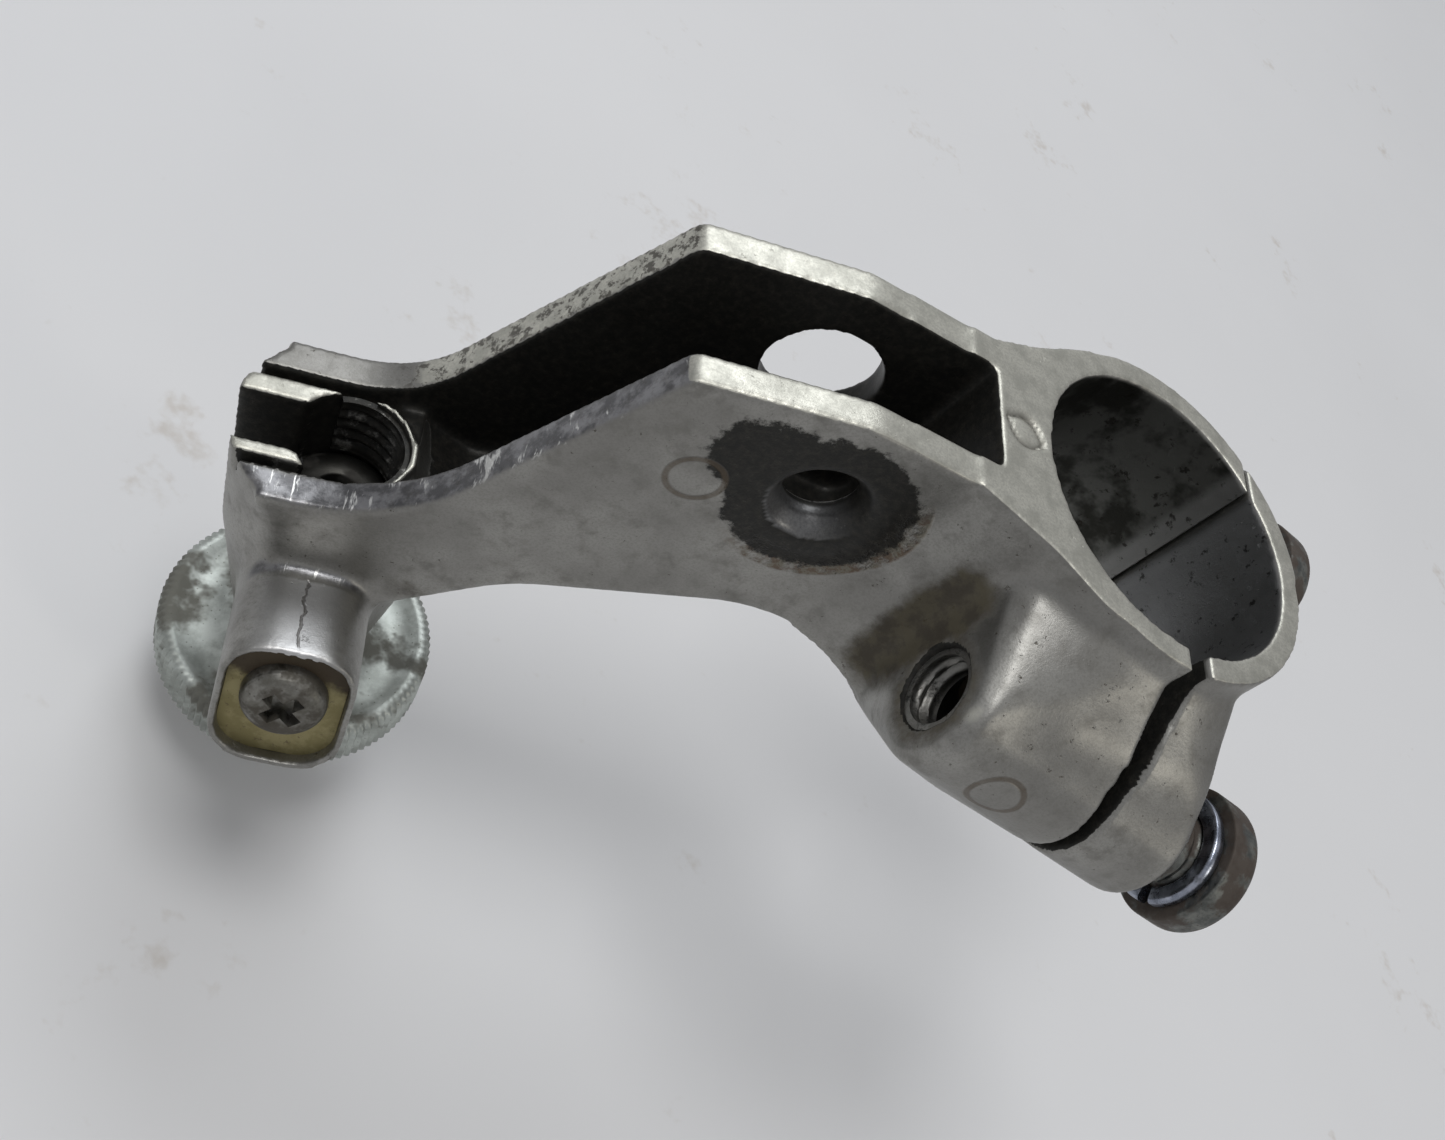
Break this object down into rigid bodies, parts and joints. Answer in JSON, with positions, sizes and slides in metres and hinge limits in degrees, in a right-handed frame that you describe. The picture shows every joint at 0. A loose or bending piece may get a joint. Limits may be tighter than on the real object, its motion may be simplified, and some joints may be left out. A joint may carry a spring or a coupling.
{
  "type": "clutch lever bracket",
  "caption": "Cast handlebar bracket for a clutch lever: split clamp, forked arm with a pivot hole, and a knurled cable adjuster held by a sprung detent.",
  "frame": {"origin": "centre of the handlebar bore at the clamp's outer face", "axes": "+Z along the handlebar's axis, out of the clamp's outer face towards the bar's end; +X from the bar forward to the lever's pivot; +Y to the side that carries the detent"},
  "size_m": [0.0829, 0.0417, 0.0566],
  "materials": {
    "cast_alloy": "satin, worn",
    "bolt_steel": "dull, rusty",
    "zinc_steel": "dull zinc",
    "yellow_zinc": "yellow chromate",
    "brass": "satin",
    "spring_steel": "satin"
  },
  "bodies": {
    "perch": {"perch_body": "cast_alloy", "detent_plug": "yellow_zinc", "detent_screw": "zinc_steel", "detent_spring": "spring_steel"},
    "cap": {"clamp_cap": "cast_alloy", "far_spring_washer": "bolt_steel"},
    "far_bolt": {"far_clamp_bolt": "bolt_steel"},
    "near_washer": {"near_spring_washer": "bolt_steel"},
    "near_bolt": {"near_clamp_bolt": "bolt_steel"},
    "cable_seat": {"cable_seat": "brass"},
    "adjuster": {"adjuster_stem": "zinc_steel", "adjuster_wheel": "zinc_steel"},
    "detent": {"detent_pin": "spring_steel"}
  },
  "joints": [
    {"name": "cap_lift", "type": "slide", "parent": "perch", "child": "cap", "axis": [-0.9903, 0.0779, -0.1149], "range_m": [0, 0.002]},
    {"name": "far_bolt_turn", "type": "hinge", "parent": "cap", "child": "far_bolt", "pos_m": [0, -0.01495, -0.0097], "axis": [-0.9903, 0.0779, -0.1149], "range_deg": [0, 720]},
    {"name": "near_bolt_travel", "type": "slide", "parent": "cap", "child": "near_washer", "axis": [-0.9903, 0.0779, -0.1149], "range_m": [-0.00255, 0.004]},
    {"name": "near_bolt_turn", "type": "hinge", "parent": "near_washer", "child": "near_bolt", "pos_m": [0, 0.01495, -0.0123], "axis": [-0.9903, 0.0779, -0.1149], "range_deg": [-918, 1440]},
    {"name": "adjuster_travel", "type": "slide", "parent": "perch", "child": "cable_seat", "axis": [-0.2957, 0, -0.9553], "range_m": [0, 0.005]},
    {"name": "adjuster_turn", "type": "hinge", "parent": "cable_seat", "child": "adjuster", "pos_m": [0.0481, 0.0003, -0.0282], "axis": [-0.2957, 0, -0.9553], "range_deg": [0, 1800]},
    {"name": "detent_click", "type": "slide", "parent": "perch", "child": "detent", "axis": [0.059, 0.9799, 0.1905], "range_m": [0, 0.0004], "stiffness_N_per_m": 1500, "deforming": ["detent_spring"]}
  ],
  "couplings": [
    {"joint": "far_bolt_turn", "follows": "cap_lift", "rad_per_m": 6283.2},
    {"joint": "near_bolt_turn", "follows": "near_bolt_travel", "rad_per_m": 6283.2},
    {"joint": "adjuster_turn", "follows": "adjuster_travel", "rad_per_m": 6283.2}
  ]
}
